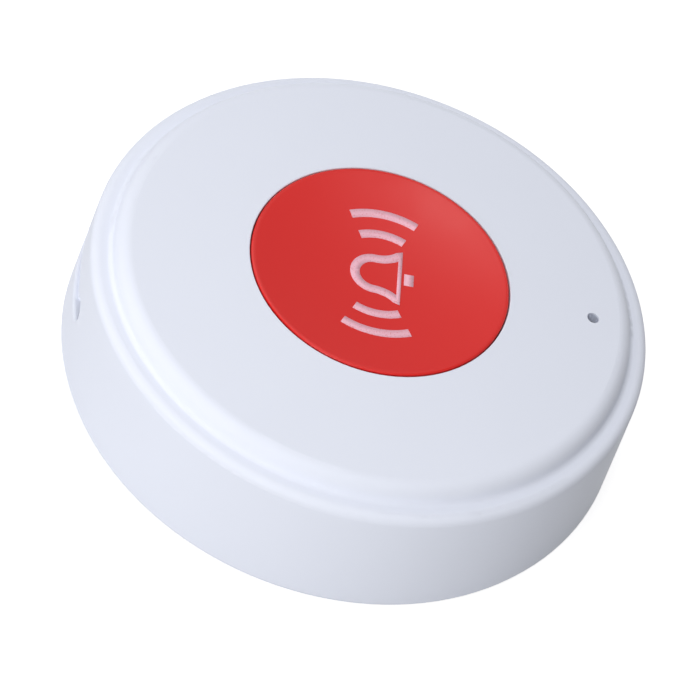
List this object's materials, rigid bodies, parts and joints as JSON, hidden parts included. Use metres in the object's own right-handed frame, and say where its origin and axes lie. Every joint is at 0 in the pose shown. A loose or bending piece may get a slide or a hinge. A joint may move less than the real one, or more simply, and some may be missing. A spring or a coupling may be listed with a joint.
{
  "type": "caregiver pager call button",
  "caption": "Round white wireless call button with a raised cap, a dished red press button, an indicator hole, a lanyard slot and a twist-off battery door.",
  "frame": {"origin": "centre of the back face, which is the bottom centre of the bounding box", "axes": "+Z out of the red button, along its press axis; +Y to the lanyard slot; -Y to the indicator hole"},
  "size_m": [0.06, 0.06, 0.0163],
  "materials": {
    "white_shell": "satin",
    "white_cover": "matte",
    "seal_rubber": "matte",
    "red_button": "satin",
    "board_green": "solder mask",
    "switch_black": "matte",
    "tinned_steel": "satin",
    "plunger_plastic": "satin",
    "led_resin": "clear resin",
    "clear_guide": "clear",
    "holder_black": "matte",
    "cell_steel": "satin",
    "chip_black": "matte",
    "crystal_can": "polished",
    "antenna_wire": "bright",
    "chip_ceramic": "matte",
    "screw_steel": "zinc plated"
  },
  "bodies": {
    "housing": {"top_shell": "white_shell", "back_cover": "white_cover", "housing_seal": "seal_rubber", "circuit_board": "board_green", "switch_body": "switch_black", "switch_cover": "tinned_steel", "switch_terminals": "tinned_steel", "indicator_led": "led_resin", "light_guide": "clear_guide", "battery_holder": "holder_black", "coin_cell": "cell_steel", "negative_contact": "tinned_steel", "positive_contact": "tinned_steel", "radio_chip": "chip_black", "crystal": "crystal_can", "loop_antenna": "antenna_wire", "chip_components": "chip_ceramic", "cover_screws": "screw_steel", "board_screws": "screw_steel"},
    "button": {"call_button": "red_button"},
    "plunger": {"switch_plunger": "plunger_plastic"},
    "door": {"battery_door": "white_cover", "door_seal": "seal_rubber"}
  },
  "joints": [
    {"name": "button_press", "type": "slide", "parent": "housing", "child": "button", "axis": [0, 0, -1], "range_m": [0, 0.0004], "stiffness_N_per_m": 4000},
    {"name": "plunger_press", "type": "slide", "parent": "housing", "child": "plunger", "axis": [0, 0, -1], "range_m": [0, 0.0003], "stiffness_N_per_m": 0.05, "springref_m": -0.0043},
    {"name": "door_twist", "type": "hinge", "parent": "housing", "child": "door", "pos_m": [0, 0, 0.001], "axis": [0, 0, -1], "range_deg": [0, 28]}
  ],
  "couplings": [
    {"joint": "plunger_press", "follows": "button_press", "ratio": 0.75}
  ]
}
